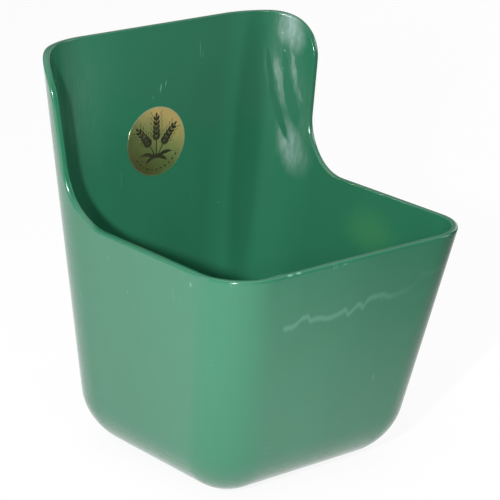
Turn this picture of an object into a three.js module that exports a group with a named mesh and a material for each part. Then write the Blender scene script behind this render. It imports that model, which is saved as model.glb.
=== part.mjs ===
// Feed trough for a horse: one moulded plastic shell with a high back, and a round foil label inside it.
// X runs across, the mouth opens towards -Y, the back is flat on +Y, and the foot stands on Z = 0.
import * as THREE from "three";

// Driving sizes of the shell, in millimetres
const HEIGHT = 420; // foot to the top of the high back
const TOP_WIDTH = 358; // across the side walls, at the top of the back
const FOOT_WIDTH = 252; // across the side walls, carried down to the foot
const MOUTH_HEIGHT = 257; // foot to the level rim of the bowl
const MOUTH_DEPTH = 334; // back to front, at the rim of the bowl
const FOOT_DEPTH = 277; // back to front, carried down to the foot
const WALL = 7; // thickness of every wall and of the floor
const FRONT_CORNER_RADIUS = 53; // upright corners beside the front wall
const BACK_CORNER_RADIUS = 86; // upright corners beside the back wall
const FOOT_RADIUS = 55; // round from the walls into the foot
const FOOT_CORNER_RADIUS = 3; // least corner left on the flat of the foot

// Side profile of the rim
const WING_DEPTH = 66; // reach of a side wing in front of the back, at the top
const WING_LEAN = 6; // how far the wing's edge leans back on its way up from the bowl's rim
const SWEEP_RADIUS = 58; // hollow sweep from the level rim up into the wing
const SHOULDER_RADIUS = 52; // round from the wing over to the top edge
const LIP_OUTER_RADIUS = 3; // rounding of the rim's outer edge
const LIP_INNER_RADIUS = 0.8; // rounding of the rim's inner edge

// Round label inside the high back
const LABEL_DIAMETER = 75;
const LABEL_HEIGHT = 295; // foot to the middle of the label
const LABEL_THICKNESS = 0.5;
const LABEL_EDGE_RADIUS = 0.2;
const GLUE_LINE = 0.1; // adhesive between the label and the wall

// Stretches along one half of the wall's outline, from the middle of the front to the middle of the back
const STRETCHES = ["front wall", "front corner", "side wall", "back corner", "back wall"];
const [FRONT, CORNER, SIDE, BACK_CORNER, BACK_WALL] = STRETCHES.keys();
const MIDDLE = STRETCHES.length;

// Facets along each stretch of the rim, down the walls and round the edges
const FRONT_STEPS = 3;
const CORNER_STEPS = 8;
const SIDE_STEPS = 6;
const SWEEP_STEPS = 8;
const WING_STEPS = 3;
const SHOULDER_STEPS = 8;
const BACK_CORNER_STEPS = 5;
const BACK_STEPS = 4;
const WALL_STEPS = 10;
const FOOT_STEPS = 7;
const OUTER_LIP_STEPS = 3;
const INNER_LIP_STEPS = 2;
const LABEL_STEPS = 48;
const LABEL_EDGE_STEPS = 3;

const QUARTER = Math.PI / 2;
const BACK = MOUTH_DEPTH / 2;
const SIDE_FLARE_SHARE = (TOP_WIDTH - FOOT_WIDTH) / 2 / HEIGHT;
const FRONT_FLARE_SHARE = (MOUTH_DEPTH - FOOT_DEPTH) / MOUTH_HEIGHT;
const LEAN_SHARE = WING_LEAN / (HEIGHT - MOUTH_HEIGHT);
const LEAN_ANGLE = Math.atan(LEAN_SHARE);
const FAN_SHARE = 0.85; // under 1, the wall's lines lean towards the back on their way down

// The walls' level section at height z, with every wall moved in by inset
function section(z, inset) {
  const halfWidth = FOOT_WIDTH / 2 + SIDE_FLARE_SHARE * z - inset;
  const front = BACK - FOOT_DEPTH - FRONT_FLARE_SHARE * z + inset;
  const back = BACK - inset;
  const frontRadius = Math.max(FRONT_CORNER_RADIUS - inset, FOOT_CORNER_RADIUS);
  const backRadius = Math.max(BACK_CORNER_RADIUS - inset, FOOT_CORNER_RADIUS);
  const cornerEnd = front + frontRadius;
  const cornerStart = back - backRadius;
  return { halfWidth, front, back, frontRadius, backRadius, cornerEnd, cornerStart };
}

// One half of that section as five curves, one for each place
function halfOutline(z, inset) {
  const s = section(z, inset);
  const frontX = s.halfWidth - s.frontRadius;
  const backX = s.halfWidth - s.backRadius;
  const point = (x, y) => new THREE.Vector2(x, y);
  const arc = (x, y, radius, from, to) =>
    new THREE.EllipseCurve(x, y, radius, radius, from, to);
  return [
    new THREE.LineCurve(point(0, s.front), point(frontX, s.front)),
    arc(frontX, s.cornerEnd, s.frontRadius, -QUARTER, 0),
    new THREE.LineCurve(point(s.halfWidth, s.cornerEnd), point(s.halfWidth, s.cornerStart)),
    arc(backX, s.cornerStart, s.backRadius, 0, QUARTER),
    new THREE.LineCurve(point(backX, s.back), point(0, s.back)),
  ];
}

// The point of the wall at a place of its outline, such as SIDE plus one half, and at height z
function wallPoint(place, z, inset) {
  const stretch = Math.min(Math.floor(place), BACK_WALL);
  const p = halfOutline(z, inset)[stretch].getPoint(place - stretch);
  return new THREE.Vector3(p.x, p.y, z);
}

// The place where the wall's outline passes the depth y
function placeAt(y, z, inset) {
  const s = section(z, inset);
  if (y < s.cornerEnd) {
    const turn = Math.acos(Math.min((s.cornerEnd - y) / s.frontRadius, 1));
    return CORNER + turn / QUARTER;
  }
  if (y < s.cornerStart) {
    return SIDE + (y - s.cornerEnd) / (s.cornerStart - s.cornerEnd);
  }
  const turn = Math.asin(Math.min((y - s.cornerStart) / s.backRadius, 1));
  return BACK_CORNER + turn / QUARTER;
}

// The side view of the wing's edge, as y and z, lowered into the wall by drop
function wingProfile(drop) {
  const edge = (z) => BACK - WING_DEPTH - LEAN_SHARE * (HEIGHT - z);
  const sweepZ = MOUTH_HEIGHT + SWEEP_RADIUS;
  const sweepY = edge(sweepZ) - SWEEP_RADIUS / Math.cos(LEAN_ANGLE);
  const shoulderZ = HEIGHT - SHOULDER_RADIUS;
  const shoulderY = edge(shoulderZ) + SHOULDER_RADIUS / Math.cos(LEAN_ANGLE);
  const hollow = SWEEP_RADIUS + drop;
  const round = SHOULDER_RADIUS - drop;
  const sweep = new THREE.EllipseCurve(sweepY, sweepZ, hollow, hollow, -QUARTER, -LEAN_ANGLE);
  const shoulder = new THREE.EllipseCurve(
    shoulderY, shoulderZ, round, round, Math.PI - LEAN_ANGLE, QUARTER, true,
  );
  const wing = new THREE.LineCurve(sweep.getPoint(1), shoulder.getPoint(0));
  return { sweep, wing, shoulder };
}

// The line where the wall, moved in by inset, meets the rim's side view, lowered by drop
function rimLine(inset, drop) {
  const mouth = MOUTH_HEIGHT - drop;
  const { sweep, wing, shoulder } = wingProfile(drop);
  const line = [{ place: FRONT, z: mouth }];
  const runTo = (place, steps) => {
    const from = line.at(-1);
    for (let i = 1; i <= steps; i++) {
      line.push({ place: THREE.MathUtils.lerp(from.place, place, i / steps), z: from.z });
    }
  };
  const follow = (curve, steps) => {
    for (let i = 1; i <= steps; i++) {
      const p = curve.getPoint(i / steps);
      line.push({ place: placeAt(p.x, p.y, inset), z: p.y });
    }
  };
  runTo(CORNER, FRONT_STEPS);
  runTo(SIDE, CORNER_STEPS);
  runTo(placeAt(sweep.getPoint(0).x, mouth, inset), SIDE_STEPS);
  follow(sweep, SWEEP_STEPS);
  follow(wing, WING_STEPS);
  follow(shoulder, SHOULDER_STEPS);
  runTo(BACK_WALL, BACK_CORNER_STEPS);
  runTo(MIDDLE, BACK_STEPS);
  return line;
}

const ringOf = (line, inset) => line.map(({ place, z }) => wallPoint(place, z, inset));

// Where each line down the wall starts at the foot: straight below the rim on the front and its corners,
// and from there back spread over the outline as the rim's own points are spread along the rim
function footPlaces() {
  const rim = rimLine(0, 0);
  const points = ringOf(rim, 0);
  const first = FRONT_STEPS + CORNER_STEPS;
  const run = [0];
  for (let i = first + 1; i < points.length; i++) {
    run.push(run.at(-1) + points[i].distanceTo(points[i - 1]));
  }
  const stretches = halfOutline(FOOT_RADIUS, 0).slice(SIDE);
  const lengths = stretches.map((curve) => curve.getLength());
  const whole = lengths.reduce((sum, length) => sum + length, 0);
  return rim.map(({ place }, i) => {
    if (i <= first) return place;
    let left = whole * (run[i - first] / run.at(-1)) ** FAN_SHARE;
    let stretch = 0;
    while (stretch < lengths.length - 1 && left > lengths[stretch]) {
      left -= lengths[stretch];
      stretch += 1;
    }
    return Math.min(SIDE + stretch + left / lengths[stretch], MIDDLE);
  });
}

// One skin of the shell as level rings, from the flat of the foot up to a line near the rim
function skinRings(inset, rim, places) {
  const rings = [];
  const round = FOOT_RADIUS - inset;
  for (let i = FOOT_STEPS; i > 0; i--) {
    const turn = (QUARTER * i) / FOOT_STEPS;
    const z = i === FOOT_STEPS ? inset : FOOT_RADIUS - round * Math.sin(turn);
    const moved = inset + round * (1 - Math.cos(turn));
    rings.push(places.map((place) => wallPoint(place, z, moved)));
  }
  for (let i = 0; i <= WALL_STEPS; i++) {
    const share = i / WALL_STEPS;
    const line = rim.map((end, column) => ({
      place: THREE.MathUtils.lerp(places[column], end.place, share),
      z: THREE.MathUtils.lerp(FOOT_RADIUS, end.z, share),
    }));
    rings.push(ringOf(line, inset));
  }
  return rings;
}

// The rim's section: a quarter round, the flat between, and the inner edge's quarter round
function lipRings() {
  const rings = [];
  for (let i = 1; i <= OUTER_LIP_STEPS; i++) {
    const turn = (QUARTER * i) / OUTER_LIP_STEPS;
    const inset = LIP_OUTER_RADIUS * (1 - Math.cos(turn));
    rings.push(ringOf(rimLine(inset, LIP_OUTER_RADIUS * (1 - Math.sin(turn))), inset));
  }
  for (let i = 0; i < INNER_LIP_STEPS; i++) {
    const turn = (QUARTER * i) / INNER_LIP_STEPS;
    const inset = WALL - LIP_INNER_RADIUS * (1 - Math.sin(turn));
    rings.push(ringOf(rimLine(inset, LIP_INNER_RADIUS * (1 - Math.cos(turn))), inset));
  }
  return rings;
}

// Closes a stack of half rings into one solid: mirrored to full rings, skinned, and capped at both ends
function skin(halfRings) {
  const mirrored = (p) => new THREE.Vector3(-p.x, p.y, p.z);
  const rings = halfRings.map((half) => [...half, ...half.slice(1, -1).reverse().map(mirrored)]);
  const around = rings[0].length;
  const points = rings.flat();
  const faces = [];
  for (let row = 0; row < rings.length - 1; row++) {
    for (let i = 0; i < around; i++) {
      const a = row * around + i;
      const b = row * around + ((i + 1) % around);
      faces.push(a, b, b + around, a, b + around, a + around);
    }
  }
  const last = (rings.length - 1) * around;
  const middleOf = (ring) => new THREE.Box3().setFromPoints(ring).getCenter(new THREE.Vector3());
  const under = points.push(middleOf(rings[0])) - 1;
  const floor = points.push(middleOf(rings.at(-1))) - 1;
  for (let i = 0; i < around; i++) {
    const next = (i + 1) % around;
    faces.push(under, next, i);
    faces.push(floor, last + i, last + next);
  }
  const geometry = new THREE.BufferGeometry().setFromPoints(points);
  geometry.setIndex(faces);
  geometry.computeVertexNormals();
  return geometry;
}

// Moulded shell: outer skin up, over the lip, and the inner skin down to the floor
function makeShell() {
  const places = footPlaces();
  const outer = skinRings(0, rimLine(0, LIP_OUTER_RADIUS), places);
  const inner = skinRings(WALL, rimLine(WALL, LIP_INNER_RADIUS), places);
  const plastic = new THREE.MeshStandardMaterial({ color: 0x2c7a58, roughness: 0.28, metalness: 0 });
  const shell = new THREE.Mesh(skin([...outer, ...lipRings(), ...inner.reverse()]), plastic);
  shell.name = "trough_shell";
  return shell;
}

// Foil label: a thin round plate with a softened edge, turned to face the mouth
function makeLabel() {
  const radius = LABEL_DIAMETER / 2;
  const profile = [new THREE.Vector2(0, 0), new THREE.Vector2(radius, 0)];
  for (let i = 0; i <= LABEL_EDGE_STEPS; i++) {
    const turn = (QUARTER * i) / LABEL_EDGE_STEPS;
    const r = radius - LABEL_EDGE_RADIUS * (1 - Math.cos(turn));
    profile.push(new THREE.Vector2(r, LABEL_THICKNESS - LABEL_EDGE_RADIUS * (1 - Math.sin(turn))));
  }
  profile.push(new THREE.Vector2(0, LABEL_THICKNESS));
  const foil = new THREE.MeshStandardMaterial({ color: 0xa8924e, roughness: 0.32, metalness: 0.85 });
  const label = new THREE.Mesh(new THREE.LatheGeometry(profile, LABEL_STEPS), foil);
  label.name = "foil_label";
  label.rotation.x = Math.PI;
  label.position.set(0, section(LABEL_HEIGHT, WALL).back - GLUE_LINE, LABEL_HEIGHT);
  return label;
}

const trough = new THREE.Group();
trough.add(makeShell(), makeLabel());

export default trough;
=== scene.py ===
"""Feed trough for a horse, dressed for the camera.

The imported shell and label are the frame. This scene gives the shell a finer skin with the same
sizes, a gold foil label with a printed sheaf of grain, and sets a plain studio round them.
Lengths are in metres. X runs across, the mouth opens towards -Y, the foot stands on Z = 0.
"""

import logging
import math
from collections.abc import Callable, Sequence
from dataclasses import dataclass, field
from enum import Enum

import bmesh
import bpy
from mathutils import Matrix, Vector

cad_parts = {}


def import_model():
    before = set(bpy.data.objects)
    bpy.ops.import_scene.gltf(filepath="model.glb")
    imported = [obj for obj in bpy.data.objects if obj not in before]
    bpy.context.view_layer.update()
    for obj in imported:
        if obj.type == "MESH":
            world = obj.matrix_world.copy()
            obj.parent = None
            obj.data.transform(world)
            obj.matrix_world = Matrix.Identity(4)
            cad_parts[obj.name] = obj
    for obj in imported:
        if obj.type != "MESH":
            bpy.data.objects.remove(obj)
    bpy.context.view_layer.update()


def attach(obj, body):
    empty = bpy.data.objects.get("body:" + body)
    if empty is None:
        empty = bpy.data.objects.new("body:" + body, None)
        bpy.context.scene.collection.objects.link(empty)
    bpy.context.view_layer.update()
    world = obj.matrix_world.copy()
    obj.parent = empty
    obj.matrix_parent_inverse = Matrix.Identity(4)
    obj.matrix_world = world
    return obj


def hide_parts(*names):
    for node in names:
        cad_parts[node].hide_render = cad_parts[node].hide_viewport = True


Pair = tuple[float, float]
Triple = tuple[float, float, float]
Edges = list[bmesh.types.BMEdge]
Material = bpy.types.Material
Mesh = bmesh.types.BMesh
Piece = bpy.types.Object
Socket = bpy.types.NodeSocket
Verts = list[bmesh.types.BMVert]

QUARTER = math.pi / 2
# Average value of a noise
NOISE_MIDDLE = 0.5
# Numbers of a mix node's sockets for its share and for colours
MIX_SHARE, MIX_FIRST, MIX_SECOND, MIX_RESULT = 0, 6, 7, 2

log = logging.getLogger("feed_trough")


class Stretch(Enum):
    """Stretches of one half of the wall's outline, from the middle of the front to the middle of the back."""

    FRONT_WALL = 0
    FRONT_CORNER = 1
    SIDE_WALL = 2
    BACK_CORNER = 3
    BACK_WALL = 4
    MIDDLE = 5


def lerp(a: float, b: float, share: float) -> float:
    """Returns the value that lies the given share of the way from a to b."""
    return a + (b - a) * share


def even(share: float) -> float:
    """Leaves an even share of a stretch as it is."""
    return share


def late(share: float) -> float:
    """Moves an even share of a stretch towards its end."""
    return math.sin(share * QUARTER)


def early(share: float) -> float:
    """Moves an even share of a stretch towards its start."""
    return 1 - math.cos(share * QUARTER)


def towards(azimuth: float, elevation: float) -> Vector:
    """Returns the unit vector to a place in the studio.

    Args:
        azimuth: Degrees round the object. 0 is in front of the mouth and 90 on the +X side.
        elevation: Degrees above the floor.

    Returns:
        The direction from the object to that place.
    """
    turn, lift = math.radians(azimuth), math.radians(elevation)
    flat = math.cos(lift)
    return Vector((math.sin(turn) * flat, -math.cos(turn) * flat, math.sin(lift)))


def arc(centre: Pair, radius: float, start: float, end: float, steps: int) -> list[Pair]:
    """Returns the points of an arc between two angles in radians, both ends included."""
    turns = [lerp(start, end, i / steps) for i in range(steps + 1)]
    return [(centre[0] + radius * math.cos(turn), centre[1] + radius * math.sin(turn)) for turn in turns]


def extend(bm: Mesh, edges: Edges, verts: Verts, points: Sequence[Vector]) -> tuple[Edges, Verts]:
    """Extrudes a line of edges to new points.

    Args:
        bm: The mesh.
        edges: The line's edges.
        verts: The line's vertices.
        points: Where their copies are set, in the same order.

    Returns:
        The new line's edges and vertices.
    """
    grown = bmesh.ops.extrude_edge_only(bm, edges=edges)["geom"]
    fresh = {item for item in grown if isinstance(item, bmesh.types.BMVert)}
    new_edges = [e for e in grown if isinstance(e, bmesh.types.BMEdge) and fresh.issuperset(e.verts)]
    new_verts = [next(e.other_vert(v) for e in v.link_edges if e.other_vert(v) in fresh) for v in verts]
    for vert, point in zip(new_verts, points):
        vert.co = point
    return new_edges, new_verts


def link(name: str, data: bpy.types.ID) -> Piece:
    """Adds an object with that data to the scene."""
    piece = bpy.data.objects.new(name, data)
    bpy.context.scene.collection.objects.link(piece)
    return piece


def piece_from(bm: Mesh, name: str, material: Material, smooth: bool) -> Piece:
    """Turns a finished bmesh into a piece of the scene.

    Args:
        bm: The mesh, in the object's frame. It is freed.
        name: Name of the piece.
        material: Its only material.
        smooth: Whether its faces are shaded smooth.

    Returns:
        The new object, at the origin and unturned.
    """
    bmesh.ops.recalc_face_normals(bm, faces=bm.faces)
    for face in bm.faces:
        face.smooth = smooth
    mesh = bpy.data.meshes.new(name)
    bm.to_mesh(mesh)
    bm.free()
    mesh.materials.append(material)
    return link(name, mesh)


@dataclass(frozen=True)
class Mark:
    """A soft oval on a surface, such as a nick, a scratch, a painted highlight or painted shade, in metres
    and degrees.
    """

    middle: Triple
    reach: Triple
    turn: float = 0.0
    strength: float = 1.0
    core: float = 0.3


@dataclass(frozen=True)
class Marks:
    """Soft ovals whose outline is shaken by a noise of that scale per metre and reach in metres."""

    shake_scale: float
    shake_reach: float
    ovals: tuple[Mark, ...]


@dataclass(frozen=True)
class Pattern:
    """A noise: its scale per metre, its finer layers, and the band of its values in use."""

    scale: float | Triple
    detail: float = 2.0
    rough: float = 0.5
    low: float = 0.3
    high: float = 0.7


@dataclass(frozen=True)
class Relief:
    """A noise that stands out from the surface by a depth in metres, of which a share shows."""

    pattern: Pattern
    depth: float
    share: float


class NodeBoard:
    """Node tree of a material or of the world, with short calls that add and join its nodes."""

    def __init__(self, owner: Material | bpy.types.World) -> None:
        """Empties the owner's node tree."""
        owner.use_nodes = True
        self.owner = owner
        self.tree = owner.node_tree
        self.tree.nodes.clear()

    def add(self, kind: str, inputs: dict[str | int, object], **settings: object) -> bpy.types.Node:
        """Adds a node.

        Args:
            kind: Blender's name of the node type.
            inputs: Outputs that are linked and values that are set, by the input's name or number.
            settings: Values for its properties.

        Returns:
            The new node.
        """
        node = self.tree.nodes.new(kind)
        for name, value in settings.items():
            setattr(node, name, value)
        for key, value in inputs.items():
            if isinstance(value, Socket):
                self.tree.links.new(value, node.inputs[key])
            else:
                node.inputs[key].default_value = value
        return node

    def place(self, scale: float | Triple = 1) -> Socket:
        """Returns the object's own coordinates, stretched by the scale.

        Args:
            scale: One value, or one for each axis.

        Returns:
            The coordinates.
        """
        scales = scale if isinstance(scale, tuple) else (scale,) * 3
        own = self.add("ShaderNodeTexCoord", {}).outputs["Object"]
        return self.add("ShaderNodeMapping", {"Vector": own, "Scale": scales}).outputs["Vector"]

    def axes(self, coordinates: str = "Object") -> Sequence[Socket]:
        """Returns X, Y and Z of those coordinates."""
        vector = self.add("ShaderNodeTexCoord", {}).outputs[coordinates]
        return self.add("ShaderNodeSeparateXYZ", {"Vector": vector}).outputs[:]

    def noise(self, pattern: Pattern, output: str = "Fac") -> Socket:
        """Returns a noise on the object's own coordinates, as one value or as a colour."""
        inputs = {"Scale": 1.0, "Detail": pattern.detail, "Roughness": pattern.rough}
        return self.add("ShaderNodeTexNoise", {"Vector": self.place(pattern.scale), **inputs}).outputs[output]

    def band(
        self,
        value: Socket,
        low: float,
        high: float,
        to_low: float = 0,
        to_high: float = 1,
        kind: str = "SMOOTHSTEP",
    ) -> Socket:
        """Maps the range low to high onto to_low to to_high, held at both ends, softly unless linear."""
        inputs = dict(enumerate((value, low, high, to_low, to_high)))
        return self.add("ShaderNodeMapRange", inputs, interpolation_type=kind).outputs["Result"]

    def cut(self, pattern: Pattern, to_low: float = 0, to_high: float = 1) -> Socket:
        """Returns a noise with its band in use mapped onto to_low to to_high."""
        return self.band(self.noise(pattern), pattern.low, pattern.high, to_low, to_high)

    def maths(self, operation: str, *values: Socket | float) -> Socket:
        """Joins values from the first to the last by a sum, a product or the like.

        Args:
            operation: Blender's name of the operation.
            values: The values, linked or fixed.

        Returns:
            The result.
        """
        total = values[0]
        for value in values[1:]:
            total = self.add("ShaderNodeMath", {0: total, 1: value}, operation=operation).outputs["Value"]
        return total

    def mix(self, share: Socket, first: Socket | Triple, second: Socket | Triple) -> Socket:
        """Mixes two colours, each a linked output or a fixed colour.

        Args:
            share: How much of the second shows.
            first: Colour at 0.
            second: Colour at 1.

        Returns:
            The mixed colour.
        """
        inputs = {MIX_SHARE: share}
        for key, colour in ((MIX_FIRST, first), (MIX_SECOND, second)):
            inputs[key] = colour if isinstance(colour, Socket) else (*colour, 1)
        return self.add("ShaderNodeMix", inputs, data_type="RGBA").outputs[MIX_RESULT]

    def bump(self, *reliefs: Relief) -> Socket:
        """Adds reliefs, each on top of the one before it.

        Args:
            reliefs: The reliefs, from the coarsest to the finest.

        Returns:
            The bent normal.
        """
        under = {}
        for relief in reliefs:
            height = self.noise(relief.pattern)
            inputs = {"Height": height, "Distance": relief.depth, "Strength": relief.share, **under}
            under = {"Normal": self.add("ShaderNodeBump", inputs).outputs["Normal"]}
        return under["Normal"]

    def shaken(self, per_metre: float, reach: float) -> Socket:
        """Shakes the object's own coordinates, so that what is drawn on them gets an uneven outline.

        Args:
            per_metre: Scale of the noise.
            reach: How far a point may move, in metres.

        Returns:
            The moved coordinates.
        """
        noise = self.noise(Pattern(per_metre), "Color")
        centred = self.add("ShaderNodeVectorMath", {0: noise, 1: (NOISE_MIDDLE,) * 3}, operation="SUBTRACT")
        inputs = {0: centred.outputs["Vector"], 1: (2 * reach,) * 3, 2: self.place()}
        return self.add("ShaderNodeVectorMath", inputs, operation="MULTIPLY_ADD").outputs["Vector"]

    def away(self, place: Socket, middle: Triple, reach: Triple, turn: float = 0.0) -> Socket:
        """Measures how far off a point lies.

        Args:
            place: The point's coordinates.
            middle: Where the measure is 0.
            reach: Lengths along the axes at which it is 1.
            turn: Degrees by which the axes are turned round Y.

        Returns:
            The measure.
        """
        inputs = {"Vector": place, "Location": middle, "Rotation": (0, math.radians(turn), 0), "Scale": reach}
        moved = self.add("ShaderNodeMapping", inputs, vector_type="TEXTURE").outputs["Vector"]
        return self.add("ShaderNodeVectorMath", {0: moved}, operation="LENGTH").outputs["Value"]

    def ovals(self, marks: Marks) -> Socket:
        """Masks a few soft ovals.

        Args:
            marks: The ovals.

        Returns:
            Each oval's strength at its middle, and 0 outside all of them.
        """
        place = self.shaken(marks.shake_scale, marks.shake_reach)
        masks = []
        for mark in marks.ovals:
            away = self.away(place, mark.middle, mark.reach, mark.turn)
            masks.append(self.band(away, mark.core, 1.0, mark.strength, 0.0))
        return self.maths("MAXIMUM", *masks)

    def path(self, along: Socket, points: tuple[Pair, ...]) -> Socket:
        """Follows a smooth line through points.

        Args:
            along: Value along the line, in metres.
            points: Pairs of the value along and the height there, in metres, in order.

        Returns:
            The height at the value, in metres.
        """
        first, last = points[0][0], points[-1][0]
        low, high = min(z for _, z in points), max(z for _, z in points)
        curve = self.add("ShaderNodeFloatCurve", {"Value": self.band(along, first, last, kind="LINEAR")})
        knots = curve.mapping.curves[0].points
        spots = [((x - first) / (last - first), (z - low) / (high - low)) for x, z in points]
        knots[0].location, knots[1].location = spots[0], spots[-1]
        for spot in spots[1:-1]:
            knots.new(*spot)
        curve.mapping.update()
        return self.band(curve.outputs["Value"], 0.0, 1.0, low, high, kind="LINEAR")

    def finish(self, shader: bpy.types.Node) -> Material | bpy.types.World:
        """Joins the shader to the output and returns the tree's owner."""
        kind = "World" if isinstance(self.owner, bpy.types.World) else "Material"
        self.add(f"ShaderNodeOutput{kind}", {"Surface": shader.outputs[0]})
        return self.owner


# Middle, reach and turn of the two long wedges left out of the painted corner highlight, where painted shade
# also lies
UPPER_WEDGE = ((0.1372, 0.140, 0.352), (0.0026, 0.060, 0.034), -2)
LOWER_WEDGE = ((0.1408, 0.135, 0.314), (0.0032, 0.060, 0.040), -8)


@dataclass(frozen=True)
class MouldedPlastic:
    """Glossy moulded plastic with slow waves, scuffs and nicks, painted glints, a painted reflection line,
    painted highlights, painted shade and a painted glow off the label.
    """

    colour: Triple = (0.0262, 0.171, 0.0915)
    deep_colour: Triple = (0.0240, 0.158, 0.0845)
    scuff_and_glint_colour: Triple = (0.2, 0.43, 0.31)
    painted_highlights_colour: Triple = (0.36, 0.5, 0.47)
    painted_shade_colour: Triple = (0.0170, 0.126, 0.066)
    painted_label_glow_colour: Triple = (0.115, 0.36, 0.095)
    gloss: float = 0.11
    dull: float = 0.18
    scuffed: float = 0.26
    refraction: float = 1.61
    tone: Pattern = Pattern((9, 9, 1.5), 3)
    cloud: Pattern = Pattern(14, 4)
    reliefs: tuple[Relief, ...] = (
        Relief(Pattern(9, 1.5), 0.0005, 0.6),
        Relief(Pattern((55, 55, 5)), 0.00012, 0.6),
        Relief(Pattern(420), 0.00002, 0.5),
    )
    upright_scratches: Pattern = Pattern((300, 300, 16), 2, 0.6, 0.66, 0.76)
    level_scratches: Pattern = Pattern((18, 18, 330), 2, 0.6, 0.7, 0.78)
    scratched_patches: Pattern = Pattern(19, 3, 0.6, 0.54, 0.7)
    scratch_strength: float = 0.4
    dulling_wear_and_glints: Pair = (0.1, 0.5)
    dulling_painted_highlights: Pair = (0.0, 0.2)
    inward: Pair = (-0.5, -0.3)
    mottle: Pattern = Pattern((260, 260, 60), 4, 0.6)
    mottle_range: Pair = (0.6, 1.25)
    nicks_and_glints: Marks = Marks(700, 0.0008, (
        Mark((0.006, 0.160, 0.352), (0.0012, 0.004, 0.0065), 14, 0.7),
        Mark((0.0125, 0.160, 0.356), (0.0008, 0.004, 0.005), 10, 0.6),
        Mark((-0.004, 0.160, 0.343), (0.0008, 0.004, 0.002), 0, 0.5),
        Mark((0.0578, 0.160, 0.386), (0.0008, 0.004, 0.011), 0, 0.35),
        Mark((0.0615, 0.160, 0.381), (0.0006, 0.004, 0.007), 0, 0.25),
        Mark((-0.1568, -0.1029, 0.2437), (0.004, 0.0022, 0.0035), 0, 0.4),
        Mark((-0.088, -0.1655, 0.2562), (0.0045, 0.003, 0.0011), 0, 0.9),
        Mark((-0.0775, -0.1655, 0.2562), (0.004, 0.003, 0.0011), 0, 0.9),
        Mark((-0.034, -0.165, 0.2535), (0.0006, 0.006, 0.005), 0, 0.5),
        Mark((-0.0305, -0.165, 0.2535), (0.0005, 0.006, 0.005), 0, 0.4),
        Mark((-0.020, -0.1663, 0.2538), (0.004, 0.003, 0.0008), 0, 0.6),
        Mark((0.083, 0.160, 0.213), (0.0015, 0.004, 0.001), 0, 0.5),
        Mark((-0.045, 0.160, 0.262), (0.0006, 0.004, 0.014), 0, 0.2),
        Mark((0.030, -0.150, 0.093), (0.006, 0.006, 0.0011), 4, 0.35),
        # The next three paint bright glints of the lamp's smear in the +X back corner
        Mark((0.1484, 0.1342, 0.397), (0.0013, 0.006, 0.0016), 0, 0.7),
        Mark((0.1490, 0.1308, 0.378), (0.0009, 0.006, 0.0016), 0, 0.6),
        Mark((0.1466, 0.1307, 0.3585), (0.0008, 0.006, 0.0013), 0, 0.5),
    ))
    # Painted highlights: a whitish smear of the lamp over the +X back corner, and weak pools of painted light
    # on the back near the shadow's edge and inside the +X wing
    painted_highlights: Marks = Marks(90, 0.0013, (
        Mark((0.1490, 0.125, 0.350), (0.0180, 0.060, 0.092), -3, 0.10, 0.2),
        Mark((0.1556, 0.120, 0.402), (0.0090, 0.060, 0.036), 0, 0.66, 0.1),
        Mark((0.1500, 0.125, 0.402), (0.0120, 0.060, 0.034), 0, 0.26, 0.0),
        Mark((0.1440, 0.135, 0.346), (0.0042, 0.060, 0.046), -4, 0.29, 0.3),
        Mark((0.1539, 0.115, 0.360), (0.0021, 0.060, 0.034), -1, 0.36, 0.3),
        Mark((0.1545, 0.108, 0.336), (0.0022, 0.060, 0.020), -4, 0.22, 0.2),
        Mark((0.1460, 0.118, 0.278), (0.0100, 0.060, 0.042), -2, 0.48, 0.1),
        Mark((0.1340, 0.140, 0.360), (0.0026, 0.060, 0.034), -3, 0.07, 0.0),
        Mark((0.1535, 0.098, 0.305), (0.0120, 0.050, 0.040), 0, 0.10, 0.0),
        Mark((-0.118, 0.160, 0.350), (0.0850, 0.030, 0.130), 0, 0.06, 0.0),
    ))
    # Gaps left out of the painted corner highlight
    highlight_gaps: Marks = Marks(90, 0.0006, (
        Mark(*UPPER_WEDGE, 1.0, 0.7),
        Mark(*LOWER_WEDGE, 1.0, 0.7),
        Mark((0.1490, 0.130, 0.360), (0.0026, 0.060, 0.024), -1, 0.8, 0.6),
        Mark((0.1498, 0.122, 0.328), (0.0038, 0.060, 0.034), -3, 0.8, 0.7),
    ))
    # Painted shade: a dark band down the back before the +X corner, the two wedges in the painted highlight,
    # and the inside of the +X wall near the front
    painted_shade: Marks = Marks(90, 0.0006, (
        Mark((0.1130, 0.150, 0.270), (0.0190, 0.060, 0.230), 5, 1.0, 0.4),
        Mark(*UPPER_WEDGE, 0.6, 0.6),
        Mark(*LOWER_WEDGE, 0.4, 0.6),
        Mark((0.1480, -0.100, 0.225), (0.0300, 0.045, 0.060), 0, 0.5, 0.0),
    ))
    # Painted glow: light mirrored off the foil label onto the inside of the +X wall
    painted_label_glow: Marks = Marks(60, 0.006, (Mark((0.1465, -0.016, 0.215), (0.0300, 0.055, 0.034), 0, 0.17, 0.1),))
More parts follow.
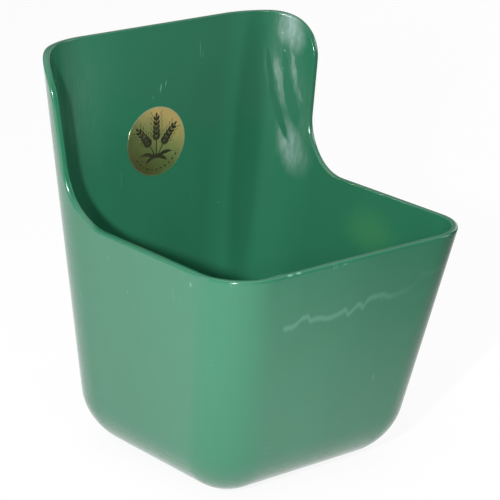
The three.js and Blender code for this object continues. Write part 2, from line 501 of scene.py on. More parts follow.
    # Path of the painted reflection line, a pale wavy line on the front wall
    painted_reflection: tuple[Pair, ...] = (
        (-0.0874, 0.2030), (-0.0819, 0.1982), (-0.0745, 0.1983), (-0.0665, 0.2019), (-0.0635, 0.2042),
        (-0.0571, 0.2057), (-0.0517, 0.2002), (-0.0407, 0.2001), (-0.0289, 0.1974), (-0.0124, 0.1996),
        (-0.0072, 0.2015), (-0.0036, 0.1958), (0.0021, 0.1986), (0.0069, 0.2025), (0.0111, 0.2034),
        (0.0149, 0.1994), (0.0192, 0.2052), (0.0288, 0.2078), (0.0377, 0.2076), (0.0522, 0.2031),
        (0.0638, 0.2041), (0.0737, 0.2061), (0.0815, 0.2111), (0.0854, 0.2189),
    )
    painted_reflection_width: float = 0.0052
    painted_reflection_strength: float = 0.26
    painted_reflection_shake: Pattern = Pattern((210, 0, 0), 3, 0.6)
    painted_reflection_shake_reach: float = 0.004
    painted_reflection_fade_start: float = 0.01
    painted_reflection_fade_share: float = 0.15
    painted_reflection_depths: Pair = (-0.140, -0.135)

    def painted_reflection_line(self, board: NodeBoard) -> Socket:
        """Masks the long wavy pale line across the front wall, a painted reflection of a bright edge.

        Args:
            board: The finish's nodes.

        Returns:
            The line's strength.
        """
        x, y, z = board.axes()
        shake = board.maths("SUBTRACT", board.noise(self.painted_reflection_shake), NOISE_MIDDLE)
        shake = board.maths("MULTIPLY", shake, self.painted_reflection_shake_reach)
        away = board.maths("SUBTRACT", z, board.maths("ADD", board.path(x, self.painted_reflection), shake))
        return board.maths(
            "MULTIPLY",
            board.band(board.maths("ABSOLUTE", away, 0.0), 0.0, self.painted_reflection_width, self.painted_reflection_strength, 0.0),
            board.band(x, self.painted_reflection[0][0], self.painted_reflection[1][0]),
            board.band(x, self.painted_reflection_fade_start, self.painted_reflection[-1][0], 1.0, self.painted_reflection_fade_share),
            board.band(y, *self.painted_reflection_depths, 1.0, 0.0),
        )

    def wear_and_glints(self, board: NodeBoard) -> Socket:
        """Masks all that is scratched or nicked, with the painted glints among the nicks and the painted
        reflection line.

        Args:
            board: The finish's nodes.

        Returns:
            How scratched the surface is, with the painted glints and the painted reflection line, from 0 to
            1.
        """
        scratches = board.maths("MAXIMUM", board.cut(self.upright_scratches), board.cut(self.level_scratches))
        patches = board.cut(self.scratched_patches, 0.0, self.scratch_strength)
        scuffs = board.maths("MULTIPLY", scratches, patches)
        return board.maths("MAXIMUM", scuffs, board.ovals(self.nicks_and_glints), self.painted_reflection_line(board))

    def inner_face(self, board: NodeBoard) -> Socket:
        """Masks the inside of the high back and of its +X corner, which face the mouth."""
        x, y, _ = board.axes("Normal")
        return board.band(board.maths("ADD", x, y), *self.inward, 1.0, 0.0)

    def corner_painted_highlights(self, board: NodeBoard) -> Socket:
        """Masks the painted highlights: a whitish smear of lamp light in the +X back corner with two long
        wedges left out, and weak pools of painted light on the back and the +X wing.

        Args:
            board: The finish's nodes.

        Returns:
            The strength of the painted highlights, before they are kept to the inner face.
        """
        outside_highlight_gaps = board.maths("SUBTRACT", 1.0, board.ovals(self.highlight_gaps))
        mottle = board.cut(self.mottle, *self.mottle_range)
        return board.maths("MULTIPLY", board.ovals(self.painted_highlights), outside_highlight_gaps, mottle)

    def make(self) -> Material:
        """Builds the finish and returns its material."""
        board = NodeBoard(bpy.data.materials.new("shell_plastic"))
        inner = self.inner_face(board)
        wear_and_glints = self.wear_and_glints(board)
        painted_highlights = board.maths("MULTIPLY", self.corner_painted_highlights(board), inner)
        # Painted shade, the painted glow off the label and the painted highlights go into the colour, then
        # the scuffs and nicks with their painted glints and the painted reflection line
        layers = (
            (board.maths("MULTIPLY", board.ovals(self.painted_shade), inner), self.painted_shade_colour),
            (board.maths("MULTIPLY", board.ovals(self.painted_label_glow), inner), self.painted_label_glow_colour),
            (painted_highlights, self.painted_highlights_colour),
            (wear_and_glints, self.scuff_and_glint_colour),
        )
        colour = board.mix(board.cut(self.tone), self.colour, self.deep_colour)
        for share, layer_colour in layers:
            colour = board.mix(share, colour, layer_colour)
        rough = board.maths(
            "MAXIMUM",
            board.cut(self.cloud, self.gloss, self.dull),
            board.band(wear_and_glints, *self.dulling_wear_and_glints, 0.0, self.scuffed),
            board.band(painted_highlights, *self.dulling_painted_highlights, 0.0, self.scuffed),
        )
        inputs = {
            "IOR": self.refraction,
            "Base Color": colour,
            "Roughness": rough,
            "Normal": board.bump(*self.reliefs),
        }
        return board.finish(board.add("ShaderNodeBsdfPrincipled", inputs))


@dataclass(frozen=True)
class GoldFoil:
    """Metallised satin film of the label, with a painted reflection, pale gold at its top right and dark
    olive at its foot, and a painted highlight round its edge.
    """

    height: float
    radius: float
    bright_reflection_colour: Triple = (0.95, 0.66, 0.25)
    middle_reflection_colour: Triple = (0.66, 0.57, 0.24)
    dark_reflection_colour: Triple = (0.41, 0.32, 0.13)
    painted_edge_highlight_colour: Triple = (0.62, 0.64, 0.4)
    rim: float = 0.001
    rim_blend: float = 0.0015
    painted_edge_highlight_strength: float = 0.8
    metal: float = 0.88
    high_metal: float = 0.58
    gloss: float = 0.2
    dull: float = 0.26
    painted_foil_reflection_up: float = 0.75
    painted_foil_reflection_across: float = 0.5
    painted_foil_reflection_cloud: float = 0.5
    low_painted_foil_reflection: Pair = (-0.95, 0.1)
    high_painted_foil_reflection: Pair = (0.0, 0.9)
    metal_painted_foil_reflection: Pair = (-0.4, 0.8)
    cloud: Pattern = Pattern(60)
    grain: Pattern = Pattern((300, 300, 2500))
    dents: Relief = Relief(Pattern(90, 3), 0.0001, 0.3)
    flat: Triple = (1, 1000, 1)

    def make(self) -> Material:
        """Builds the finish and returns its material."""
        board = NodeBoard(bpy.data.materials.new("label_foil"))
        x, _, z = board.axes()
        # Painted reflection: the foil is lighter towards its top and its +X side, with a cloud, and less
        # metallic where it is lighter
        slopes = (
            (z, self.height, self.painted_foil_reflection_up / self.radius),
            (x, 0.0, self.painted_foil_reflection_across / self.radius),
            (board.noise(self.cloud), NOISE_MIDDLE, self.painted_foil_reflection_cloud),
        )
        terms = [board.maths("MULTIPLY", board.maths("SUBTRACT", a, b), slope) for a, b, slope in slopes]
        painted_foil_reflection = board.maths("ADD", *terms)
        colour = board.mix(board.band(painted_foil_reflection, *self.low_painted_foil_reflection), self.dark_reflection_colour, self.middle_reflection_colour)
        colour = board.mix(board.band(painted_foil_reflection, *self.high_painted_foil_reflection), colour, self.bright_reflection_colour)
        # A paler ring round the edge is a painted highlight
        away = board.away(board.place(), (0, 0, self.height), self.flat)
        rim = board.band(away, self.radius - self.rim_blend, self.radius - self.rim, 0.0, self.painted_edge_highlight_strength)
        inputs = {
            "Metallic": board.band(painted_foil_reflection, *self.metal_painted_foil_reflection, self.metal, self.high_metal),
            "Base Color": board.mix(rim, colour, self.painted_edge_highlight_colour),
            "Roughness": board.cut(self.grain, self.gloss, self.dull),
            "Normal": board.bump(self.dents),
        }
        return board.finish(board.add("ShaderNodeBsdfPrincipled", inputs))


@dataclass(frozen=True)
class PrintInk:
    """Dark ink of the label's print, a little uneven in tone."""

    colour: Triple = (0.02, 0.022, 0.012)
    thin_colour: Triple = (0.07, 0.065, 0.03)
    roughness: float = 0.35
    tone: Pattern = Pattern(700, 3, 0.5, 0.45, 0.75)

    def make(self) -> Material:
        """Builds the finish and returns its material."""
        board = NodeBoard(bpy.data.materials.new("label_ink"))
        colour = board.mix(board.cut(self.tone), self.colour, self.thin_colour)
        inputs = {"Roughness": self.roughness, "Base Color": colour}
        return board.finish(board.add("ShaderNodeBsdfPrincipled", inputs))


@dataclass(frozen=True)
class Fade:
    """A way along the floor, as its X and Y, and how far along it the paper starts and ends to grey."""

    x: float
    y: float
    start: float
    end: float


@dataclass(frozen=True)
class FloorPaper:
    """Pale studio paper: white round the object, and grey far off on two sides where it is only mirrored."""

    white: Triple = (0.98, 0.98, 0.98)
    grain: Pattern = Pattern(900)
    grain_share: float = 0.97
    far_share: float = 0.12
    lift: float = 0.9
    fades: tuple[Fade, ...] = (Fade(0.7, -0.72, 0.1, 0.65), Fade(-0.9, -0.44, 0.8, 1.8))

    def make(self) -> Material:
        """Builds the finish and returns its material."""
        board = NodeBoard(bpy.data.materials.new("floor_paper"))
        x, y, _ = board.axes()
        rays = board.add("ShaderNodeLightPath", {}).outputs
        shares = []
        for fade in self.fades:
            away = board.maths("ADD", board.maths("MULTIPLY", x, fade.x), board.maths("MULTIPLY", y, fade.y))
            shares.append(board.band(away, fade.start, fade.end))
        unseen = board.maths("SUBTRACT", 1.0, rays["Is Camera Ray"])
        grey = board.maths("MULTIPLY", board.maths("MAXIMUM", *shares), unseen)
        paper = board.mix(board.cut(self.grain), self.white, tuple(self.grain_share * c for c in self.white))
        matt = board.mix(grey, paper, tuple(self.far_share * c for c in self.white))
        glow = board.mix(grey, (1, 1, 1), (self.far_share,) * 3)
        kinds = ("Is Camera Ray", "Is Glossy Ray", "Is Transmission Ray")
        seen = board.maths("MAXIMUM", *(rays[kind] for kind in kinds))
        inputs = {
            "Fac": board.maths("MULTIPLY", seen, self.lift),
            1: board.add("ShaderNodeBsdfDiffuse", {"Color": matt}).outputs["BSDF"],
            2: board.add("ShaderNodeEmission", {"Color": glow}).outputs["Emission"],
        }
        return board.finish(board.add("ShaderNodeMixShader", inputs))


@dataclass(frozen=True)
class Section:
    """A level cut through the walls, moved in from the outside by an inset."""

    half_width: float
    front: float
    back: float
    front_radius: float
    back_radius: float

    @property
    def corner_end(self) -> float:
        """Depth at which the front corner meets the side wall."""
        return self.front + self.front_radius

    @property
    def corner_start(self) -> float:
        """Depth at which the side wall meets the back corner."""
        return self.back - self.back_radius


@dataclass(frozen=True)
class RimPoint:
    """A point of the rim: its place along the wall's outline, and its height."""

    place: float
    height: float


@dataclass
class TroughShell:
    """One moulded shell: a drafted bowl with a rounded foot, a high back and two side wings."""

    height: float = 0.420
    top_width: float = 0.358
    foot_width: float = 0.252
    mouth_height: float = 0.257
    mouth_depth: float = 0.334
    foot_depth: float = 0.277
    wall: float = 0.007
    front_corner_radius: float = 0.053
    back_corner_radius: float = 0.086
    foot_radius: float = 0.055
    foot_corner_radius: float = 0.003
    wing_depth: float = 0.066
    wing_lean: float = 0.006
    sweep_radius: float = 0.058
    shoulder_radius: float = 0.052
    lip_outer_radius: float = 0.003
    lip_inner_radius: float = 0.0012
    fan_share: float = 0.85
    front_steps: int = 10
    corner_steps: int = 20
    side_steps: int = 16
    sweep_steps: int = 24
    wing_steps: int = 12
    shoulder_steps: int = 24
    back_corner_steps: int = 14
    back_steps: int = 10
    wall_steps: int = 30
    foot_steps: int = 14
    outer_lip_steps: int = 6
    inner_lip_steps: int = 5
    lip_support: float = 0.0006
    flat_support: float = 0.004

    @property
    def back(self) -> float:
        """Depth of the flat back's outside."""
        return self.mouth_depth / 2

    @property
    def side_flare(self) -> float:
        """How far a side wall leans out, as a share of the height."""
        return (self.top_width - self.foot_width) / 2 / self.height

    @property
    def front_flare(self) -> float:
        """How far the front wall leans out, as a share of the height."""
        return (self.mouth_depth - self.foot_depth) / self.mouth_height

    @property
    def lean_share(self) -> float:
        """How far the wing's edge leans back, as a share of its height."""
        return self.wing_lean / (self.height - self.mouth_height)

    def section(self, z: float, inset: float) -> Section:
        """Cuts the walls level.

        Args:
            z: Height of the cut.
            inset: How far every wall is moved in.

        Returns:
            The cut's sizes.
        """
        return Section(
            half_width=self.foot_width / 2 + self.side_flare * z - inset,
            front=self.back - self.foot_depth - self.front_flare * z + inset,
            back=self.back - inset,
            front_radius=max(self.front_corner_radius - inset, self.foot_corner_radius),
            back_radius=max(self.back_corner_radius - inset, self.foot_corner_radius),
        )

    def wall_point(self, place: float, z: float, inset: float) -> Vector:
        """Finds a point of the wall.

        Args:
            place: Stretch of the outline plus the share of it.
            z: Height.
            inset: How far the wall is moved in.

        Returns:
            The point on the +X half.
        """
        cut = self.section(z, inset)
        front_x = cut.half_width - cut.front_radius
        back_x = cut.half_width - cut.back_radius
        stretch = Stretch(min(int(place), Stretch.BACK_WALL.value))
        share = place - stretch.value
        if stretch is Stretch.FRONT_WALL:
            return Vector((front_x * share, cut.front, z))
        if stretch is Stretch.FRONT_CORNER:
            turn = QUARTER * share
            x = front_x + cut.front_radius * math.sin(turn)
            return Vector((x, cut.corner_end - cut.front_radius * math.cos(turn), z))
        if stretch is Stretch.SIDE_WALL:
            return Vector((cut.half_width, lerp(cut.corner_end, cut.corner_start, share), z))
        if stretch is Stretch.BACK_CORNER:
            turn = QUARTER * share
            x = back_x + cut.back_radius * math.cos(turn)
            return Vector((x, cut.corner_start + cut.back_radius * math.sin(turn), z))
        return Vector((back_x * (1 - share), cut.back, z))

    def place_at(self, y: float, z: float, inset: float) -> float:
        """Finds where the outline passes a depth, behind the front corner.

        Args:
            y: The depth.
            z: Height of the outline.
            inset: How far the wall is moved in.

        Returns:
            The place along the outline.
        """
        cut = self.section(z, inset)
        if y < cut.corner_end:
            turn = math.acos(min((cut.corner_end - y) / cut.front_radius, 1))
            return Stretch.FRONT_CORNER.value + turn / QUARTER
        if y < cut.corner_start:
            return Stretch.SIDE_WALL.value + (y - cut.corner_end) / (cut.corner_start - cut.corner_end)
        turn = math.asin(min((y - cut.corner_start) / cut.back_radius, 1))
        return Stretch.BACK_CORNER.value + turn / QUARTER

    def wing_profile(self, drop: float) -> list[Pair]:
        """Draws the side view of the wing's edge.

        Args:
            drop: How far the edge is lowered into the wall.

        Returns:
            Depth and height of each point, from the level rim to the top edge.
        """
        lean = math.atan(self.lean_share)

        def edge(z: float) -> float:
            """Returns the depth of the wing's straight edge at a height."""
            return self.back - self.wing_depth - self.lean_share * (self.height - z)

        sweep_z = self.mouth_height + self.sweep_radius
        sweep_y = edge(sweep_z) - self.sweep_radius / math.cos(lean)
        shoulder_z = self.height - self.shoulder_radius
        shoulder_y = edge(shoulder_z) + self.shoulder_radius / math.cos(lean)
        sweep = arc((sweep_y, sweep_z), self.sweep_radius + drop, -QUARTER, -lean, self.sweep_steps)
        rounding = self.shoulder_radius - drop
        shoulder = arc((shoulder_y, shoulder_z), rounding, math.pi - lean, QUARTER, self.shoulder_steps)
        start, end = sweep[-1], shoulder[0]
        shares = [i / self.wing_steps for i in range(1, self.wing_steps + 1)]
        straight = [(lerp(start[0], end[0], share), lerp(start[1], end[1], share)) for share in shares]
        return [*sweep, *straight, *shoulder[1:]]

    def rim_line(self, inset: float, drop: float) -> list[RimPoint]:
        """Follows the line where the wall meets the rim's side view.

        Args:
            inset: How far the wall is moved in.
            drop: How far the side view is lowered.

        Returns:
            The line's points, from the middle of the front to the middle of the back.
        """
        line = [RimPoint(Stretch.FRONT_WALL.value, self.mouth_height - drop)]

        def run_to(place: float, steps: int, spread: Callable[[float], float] = even) -> None:
            """Adds a level run of points up to a place."""
            start = line[-1]
            for i in range(1, steps + 1):
                line.append(RimPoint(lerp(start.place, place, spread(i / steps)), start.height))

        profile = self.wing_profile(drop)
        run_to(Stretch.FRONT_CORNER.value, self.front_steps, late)
        run_to(Stretch.SIDE_WALL.value, self.corner_steps)
        sweep_place = self.place_at(profile[0][0], self.mouth_height - drop, inset)
        run_to(sweep_place, self.side_steps, early)
        line += [RimPoint(self.place_at(y, z, inset), z) for y, z in profile[1:]]
        run_to(Stretch.BACK_WALL.value, self.back_corner_steps)
        run_to(Stretch.MIDDLE.value, self.back_steps, early)
        return line

    def ring(self, line: list[RimPoint], inset: float) -> list[Vector]:
        """Returns the points of a line on the wall."""
        return [self.wall_point(point.place, point.height, inset) for point in line]

    def foot_places(self) -> list[float]:
        """Finds where each line down the wall meets the foot.

        Returns:
            The places: straight below the rim up to the front corner's end, and spread behind it
            over the outline as the rim's own points are spread along the rim.
        """
        rim = self.rim_line(0, 0)
        points = self.ring(rim, 0)
        first = self.front_steps + self.corner_steps
        run = [0.0]
        for before, after in zip(points[first:], points[first + 1 :]):
            run.append(run[-1] + (after - before).length)
        cut = self.section(self.foot_radius, 0)
        lengths = [
            cut.corner_start - cut.corner_end,
            QUARTER * cut.back_radius,
            cut.half_width - cut.back_radius,
        ]
        places = [point.place for point in rim[: first + 1]]
        for length in run[1:]:
            left = sum(lengths) * (length / run[-1]) ** self.fan_share
            stretch = 0
            while stretch < len(lengths) - 1 and left > lengths[stretch]:
                left -= lengths[stretch]
                stretch += 1
            place = Stretch.SIDE_WALL.value + stretch + left / lengths[stretch]
            places.append(min(place, Stretch.MIDDLE.value))
        return places

    def skin_rings(self, inset: float, rim: list[RimPoint], places: list[float]) -> list[list[Vector]]:
        """Cuts one skin of the shell into level rings.

        Args:
            inset: 0 for the outside, the wall for the inside.
            rim: Line near the rim at which the skin ends.
            places: Places at which the lines down the wall meet the foot.

        Returns:
            Half rings, from the flat of the foot up to the rim line.
        """
        rings = []
        rounding = self.foot_radius - inset
        for i in range(self.foot_steps, 0, -1):
            turn = QUARTER * i / self.foot_steps
            z = self.foot_radius - rounding * math.sin(turn)
            moved = inset + rounding * (1 - math.cos(turn))
            rings.append([self.wall_point(place, z, moved) for place in places])
        shares = [i / self.wall_steps for i in range(self.wall_steps)]
        shares.append(1 - self.lip_support / (self.mouth_height - self.foot_radius))
        shares.append(1.0)
        for share in shares:
            line = [
                RimPoint(lerp(places[i], end.place, share), lerp(self.foot_radius, end.height, share))
                for i, end in enumerate(rim)
            ]
            rings.append(self.ring(line, inset))
        return rings

    def lip_rings(self) -> list[list[Vector]]:
        """Rounds the rim: a quarter round outside, the flat, and a quarter round inside.

        Returns:
            Half rings, from the outer skin to the inner one, without the skins' own last rings.
        """
        spots = []
        for i in range(1, self.outer_lip_steps + 1):
            turn = QUARTER * i / self.outer_lip_steps
            inset, drop = 1 - math.cos(turn), 1 - math.sin(turn)
            spots.append((self.lip_outer_radius * inset, self.lip_outer_radius * drop))
        for i in range(self.inner_lip_steps):
            turn = QUARTER * i / self.inner_lip_steps
            inset, drop = 1 - math.sin(turn), 1 - math.cos(turn)
            spots.append((self.wall - self.lip_inner_radius * inset, self.lip_inner_radius * drop))
        return [self.ring(self.rim_line(inset, drop), inset) for inset, drop in spots]

    def all_rings(self) -> list[list[Vector]]:
        """Returns the closed rings from the foot up the outside, over the lip and down to the floor."""
        places = self.foot_places()
        outer = self.skin_rings(0, self.rim_line(0, self.lip_outer_radius), places)
        inner = self.skin_rings(self.wall, self.rim_line(self.wall, self.lip_inner_radius), places)
        halves = [*outer, *self.lip_rings(), *reversed(inner)]
        mirror = Matrix.Scale(-1, 3, Vector((1, 0, 0)))
        return [[*half, *(mirror @ point for point in reversed(half[1:-1]))] for half in halves]

    def build(self, material: Material) -> Piece:
        """Extrudes the first ring up the outside, over the lip and down the inside, and caps it.

        Args:
            material: The shell's finish.

        Returns:
            The shell.
        """
        rings = self.all_rings()
        bm = bmesh.new()
        verts = bmesh.ops.create_circle(bm, segments=len(rings[0]), radius=self.foot_width / 2)["verts"]
        for vert, point in zip(verts, rings[0]):
            vert.co = point
        edges = list(bm.edges)
        self.cap(bm, edges)
        for points in rings[1:]:
            edges, verts = extend(bm, edges, verts, points)
        self.cap(bm, edges)
        return piece_from(bm, "shell_skin", material, smooth=True)

    def cap(self, bm: Mesh, edges: Edges) -> None:
        """Closes a ring with a flat face and a narrow flat border.

        Args:
            bm: The mesh.
            edges: The ring's edges.
        """
        faces = bmesh.ops.contextual_create(bm, geom=edges)["faces"]
        bmesh.ops.inset_region(bm, faces=faces, thickness=self.flat_support, use_even_offset=True)


@dataclass
class FoilLabel:
    """Round foil label inside the high back."""

    shell: TroughShell
    diameter: float = 0.075
    height: float = 0.295
    thickness: float = 0.0005
    edge_radius: float = 0.00012
    edge_steps: int = 3
    glue_line: float = 0.0001
    around: int = 128
    weld: float = 1e-6

    @property
    def face(self) -> float:
        """Depth of the label's visible face."""
        return self.shell.section(self.height, self.shell.wall).back - self.glue_line - self.thickness

    def build(self, material: Material) -> Piece:
        """Spins the label's profile into a thin disc with a softened edge.

        Args:
            material: The foil.

        Returns:
            The disc.
        """
        radius, back = self.diameter / 2, self.face + self.thickness
        profile = [(0.0, back), (radius, back)]
        for i in range(self.edge_steps + 1):
            turn = QUARTER * i / self.edge_steps
            inward = self.edge_radius * (1 - math.cos(turn))
            profile.append((radius - inward, self.face + self.edge_radius * (1 - math.sin(turn))))
        profile.append((0.0, self.face))
        bm = bmesh.new()
        verts = [bm.verts.new((r, y, self.height)) for r, y in profile]
        edges = [bm.edges.new(pair) for pair in zip(verts, verts[1:])]
        bmesh.ops.spin(
            bm,
            geom=[*verts, *edges],
            cent=(0, 0, self.height),
            axis=(0, 1, 0),
            angle=math.tau,
            steps=self.around,
            use_merge=True,
        )
        bmesh.ops.remove_doubles(bm, verts=bm.verts, dist=self.weld)
        return piece_from(bm, "label_disc", material, smooth=False)


@dataclass(frozen=True)
class Ear:
    """An ear of grain: its lean and its tip's further bend to the side, as shares of its length."""

    lean: float
    bend: float
    length: float


@dataclass
class SheafPrint:
    """The label's print: three ears tied into a sheaf, with leaves, over a row of seeds.

    What isn't a length in metres is a share of the line, the grain or the ear that it belongs to.
    """

    label: FoilLabel
    bm: Mesh = field(default_factory=bmesh.new)
    thickness: float = 0.00003
    layer: float = 0.000003
    layers: int = 7
    line_width: float = 0.0012
    foot: float = 0.0215
    ears: tuple[Ear, ...] = (Ear(-0.40, -0.30, 0.033), Ear(0.0, 0.0, 0.046), Ear(0.40, 0.30, 0.033))
    ear_spread: float = 0.004
    ear_lift: float = 0.0045
    stem_steps: int = 12
    kernels: int = 5
    kernel_length: float = 0.0076
    kernel_width: float = 0.0038
    kernel_sides: int = 14
    kernel_start: float = 0.48
    kernel_span: float = 0.44
    kernel_taper: float = 0.3
    kernel_tilt: float = 0.5
    kernel_out: float = 0.75
    tip_size: float = 0.7
    bristle_out: float = 1.6
    bristle_start: float = 0.4
    bristle_length: float = 0.12
    bristle_width: float = 0.5
    leaves: tuple[Pair, ...] = ((0.021, 0.014), (0.014, 0.005))
    leaf_steps: int = 10
    leaf_lift: float = 0.004
    leaf_droop: float = 0.010
    leaf_width: float = 0.4
    leaf_swell: float = 0.0036
    tie_places: tuple[float, ...] = (-0.0042, -0.0021, 0.0, 0.0021, 0.0042)
    tie_lift: float = 0.0065
    tie_curve: float = 30
    tie_width: float = 0.003
    seeds: int = 11
    seed_ring: float = 0.0305
    seed_reach: float = 55
    seed_size: float = 0.42
    weld: float = 1e-7

    @property
    def root(self) -> Vector:
        """Foot of the sheaf."""
        return Vector((0, -self.foot, 0))

    def rise(self) -> Vector:
        """Returns a tiny lift that keeps a new stroke apart from those that it crosses."""
        return Vector((0, 0, len(self.bm.faces) % self.layers * self.layer))

    def stroke(self, points: list[Vector], width: float, swell: float = 0.0) -> None:
        """Draws a line in the label's plane.

        Args:
            points: The points that it follows.
            width: Its width at both ends.
            swell: How much wider it is in its middle.
        """
        rise = self.rise()
        last = len(points) - 1
        pairs = []
        for i, point in enumerate(points):
            step = points[min(i + 1, last)] - points[max(i - 1, 0)]
            wide = width + swell * math.sin(math.pi * i / last)
            side = Vector((-step.y, step.x, 0)).normalized() * wide / 2
            pairs.append((point + rise + side, point + rise - side))
        verts = [self.bm.verts.new(point) for point in pairs[0]]
        edges = [self.bm.edges.new(verts)]
        for pair in pairs[1:]:
            edges, verts = extend(self.bm, edges, verts, pair)

    def kernel(self, at: Vector, turn: float, size: float) -> None:
        """Draws one grain as a flat oval.

        Args:
            at: Middle of the grain.
            turn: Direction of its long axis, in radians from X.
            size: Its size as a share of the full one.
        """
        place = Matrix.Translation(at + self.rise()) @ Matrix.Rotation(turn, 4, "Z")
        place = place @ Matrix.Diagonal((self.kernel_length / 2 * size, self.kernel_width / 2 * size, 1, 1))
        bmesh.ops.create_circle(self.bm, cap_ends=True, segments=self.kernel_sides, radius=1, matrix=place)

    def draw_ear(self, ear: Ear) -> None:
        """Draws an ear: its stem, two rows of grains with their bristles, and a grain at its tip.

        Args:
            ear: The ear.
        """
        root = self.root + Vector((ear.lean * self.ear_spread, self.ear_lift, 0))

        def along(share: float) -> Vector:
            """Returns the stem's point at a share of its length."""
            return root + Vector((ear.lean * share + ear.bend * share * share, share, 0)) * ear.length

        def direction(share: float) -> float:
            """Returns the stem's direction at a share of its length, in radians from X."""
            return math.atan2(1, ear.lean + 2 * ear.bend * share)

        self.stroke([along(i / self.stem_steps) for i in range(self.stem_steps + 1)], self.line_width)
        for i in range(self.kernels):
            share = self.kernel_start + self.kernel_span * i / (self.kernels - 1)
            turn = direction(share)
            size = 1 - self.kernel_taper * i / self.kernels
            for side in (-1, 1):
                tilt = turn - side * self.kernel_tilt
                out = Vector((side * math.sin(turn), -side * math.cos(turn), 0))
                out = out * self.kernel_width * self.kernel_out * size
                self.kernel(along(share) + out, tilt, size)
                ahead = Vector((math.cos(tilt), math.sin(tilt), 0))
                start = along(share) + out * self.bristle_out
                start = start + ahead * self.kernel_length * self.bristle_start
                end = start + ahead * ear.length * self.bristle_length
                self.stroke([start, end], self.line_width * self.bristle_width)
        self.kernel(along(1.0), direction(1.0), self.tip_size)

    def draw_leaves(self) -> None:
        """Draws the leaves on both sides of the sheaf, and its tie."""
        steps = [i / self.leaf_steps for i in range(self.leaf_steps + 1)]
        for side in (-1, 1):
            for reach, rise in self.leaves:
                heights = [self.leaf_lift + rise * s - self.leaf_droop * s * s for s in steps]
                leaf = [self.root + Vector((side * reach * s, up, 0)) for s, up in zip(steps, heights)]
                self.stroke(leaf, self.line_width * self.leaf_width, self.leaf_swell)
        tie = [self.root + Vector((x, self.tie_lift + self.tie_curve * x * x, 0)) for x in self.tie_places]
        self.stroke(tie, self.tie_width)

    def build(self, material: Material) -> Piece:
        """Draws the sheaf and the row of seeds under it, and sets them on the label's face.

        Args:
            material: The ink.

        Returns:
            The print.
        """
        for ear in self.ears:
            self.draw_ear(ear)
        self.draw_leaves()
        for i in range(self.seeds):
            turn = math.radians(lerp(-self.seed_reach, self.seed_reach, i / (self.seeds - 1)))
            place = Vector((math.sin(turn), -math.cos(turn), 0)) * self.seed_ring
            self.kernel(place, turn, self.seed_size)
        bm = self.bm
        bmesh.ops.remove_doubles(bm, verts=bm.verts, dist=self.weld)
        bmesh.ops.recalc_face_normals(bm, faces=bm.faces)
        grown = bmesh.ops.extrude_face_region(bm, geom=list(bm.faces))["geom"]
        fresh = [item for item in grown if isinstance(item, bmesh.types.BMVert)]
        bmesh.ops.translate(bm, verts=fresh, vec=(0, 0, self.thickness))
        stand = Matrix.Translation((0, self.label.face, self.label.height)) @ Matrix.Rotation(QUARTER, 4, "X")
        bmesh.ops.transform(bm, verts=bm.verts, matrix=stand)
        return piece_from(bm, "label_print", material, smooth=False)


@dataclass(frozen=True)
class Lamp:
    """A round lamp of the studio, aimed at the object.

    Its strength is how bright a white face turned to it gets from it alone.
    """

    name: str
    azimuth: float
    elevation: float
    distance: float
    width: float
    strength: float

    def build(self, aim: Vector) -> None:
        """Adds the lamp.

        Args:
            aim: Point that it faces.
        """
        data = bpy.data.lights.new(self.name, "AREA")
        data.shape = "DISK"
        data.size = self.width
        data.energy = self.strength * math.pi**2 * self.distance**2
        lamp = link(self.name, data)
        lamp.location = aim + towards(self.azimuth, self.elevation) * self.distance
        lamp.rotation_euler = (lamp.location - aim).to_track_quat("Z", "Y").to_euler()


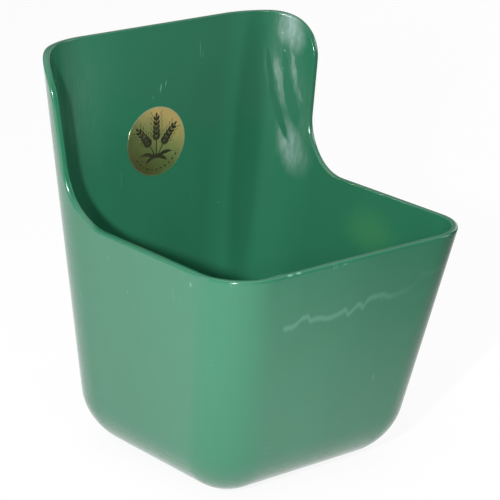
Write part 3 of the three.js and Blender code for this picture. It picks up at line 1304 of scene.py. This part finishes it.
@dataclass
class Studio:
    """Pale floor, lamps, the soft light of the room and the camera."""

    aim: Triple = (0.0, 0.0, 0.2)
    floor_size: float = 12.0
    floor_cells: int = 12
    ceiling_start: float = 0.5
    ceiling_light: float = 1.28
    back_light: float = 0.4
    backdrop: Triple = (1, 1, 1)
    camera_target: Triple = (0.037784, 0.0470, 0.198025)
    camera_azimuth: float = -39.440
    camera_elevation: float = 18.686
    camera_roll: float = 1.1397
    camera_distance: float = 2.44071
    lens: float = 169.27
    sensor: float = 36.0
    clip: Pair = (0.05, 50.0)
    lamps: tuple[Lamp, ...] = (
        Lamp("key_lamp", -50.5, 21, 1.8, 0.08, 0.99),
        Lamp("front_lamp", -23, 20, 1.8, 0.08, 0.11),
        Lamp("left_lamp", -115, 12, 2.4, 1.2, 0.14),
        Lamp("right_lamp", 60, 20, 2.4, 1.0, 0.14),
        Lamp("right_back_lamp", 112, 14, 2.4, 1.3, 0.08),
    )

    def build_floor(self) -> None:
        """Lays the floor."""
        bm = bmesh.new()
        cells = self.floor_cells
        bmesh.ops.create_grid(bm, x_segments=cells, y_segments=cells, size=self.floor_size / 2)
        floor = piece_from(bm, "floor", FloorPaper().make(), smooth=False)

    def build_world(self) -> None:
        """Sets the soft light of the room, from a pale ceiling and from behind."""
        board = NodeBoard(bpy.data.worlds.new("surroundings"))
        _, y, z = board.axes("Generated")
        ceiling = board.band(z, self.ceiling_start, 1.0, 0.0, self.ceiling_light, kind="LINEAR")
        behind = board.band(y, 0.0, 1.0, 0.0, self.back_light, kind="LINEAR")
        seen = board.add("ShaderNodeLightPath", {}).outputs["Is Camera Ray"]
        light = board.mix(seen, board.maths("ADD", ceiling, behind), self.backdrop)
        bpy.context.scene.world = board.finish(board.add("ShaderNodeBackground", {"Color": light}))

    def build_lamps(self) -> None:
        """Hangs the lamps."""
        for lamp in self.lamps:
            lamp.build(Vector(self.aim))

    def build_camera(self) -> None:
        """Sets the camera at the photograph's angle."""
        data = bpy.data.cameras.new("camera")
        data.sensor_fit = "HORIZONTAL"
        data.sensor_width = self.sensor
        data.lens = self.lens
        data.clip_start, data.clip_end = self.clip
        camera = link("camera", data)
        back = towards(self.camera_azimuth, self.camera_elevation)
        level = Vector((0, 0, 1)).cross(back).normalized()
        turn = Matrix((level, back.cross(level), back)).transposed()
        turn = turn @ Matrix.Rotation(math.radians(self.camera_roll), 3, "Z")
        place = Vector(self.camera_target) + back * self.camera_distance
        camera.matrix_world = Matrix.Translation(place) @ turn.to_4x4()
        bpy.context.scene.camera = camera


@dataclass
class FeedTrough:
    """The whole object: its shell, its label and the label's print."""

    body: str = "root"

    def build(self) -> None:
        """Builds every piece, hides the CAD nodes of the shell and the label, and lets each piece ride on its
        body.
        """
        shell = TroughShell()
        label = FoilLabel(shell)
        skin = shell.build(MouldedPlastic().make())
        disc = label.build(GoldFoil(label.height, label.diameter / 2).make())
        drawing = SheafPrint(label).build(PrintInk().make())
        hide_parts("trough_shell")
        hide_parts("foil_label")
        for piece in (skin, disc, drawing):
            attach(piece, self.body)
            log.info("built %s with %d faces", piece.name, len(piece.data.polygons))


def main() -> None:
    """Loads the frame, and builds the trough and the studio."""
    logging.basicConfig(level=logging.INFO, format="%(name)s: %(message)s")
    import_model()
    FeedTrough().build()
    studio = Studio()
    studio.build_floor()
    studio.build_world()
    studio.build_lamps()
    studio.build_camera()
    view = bpy.context.scene.view_settings
    view.view_transform = "Standard"


if __name__ == "__main__":
    main()
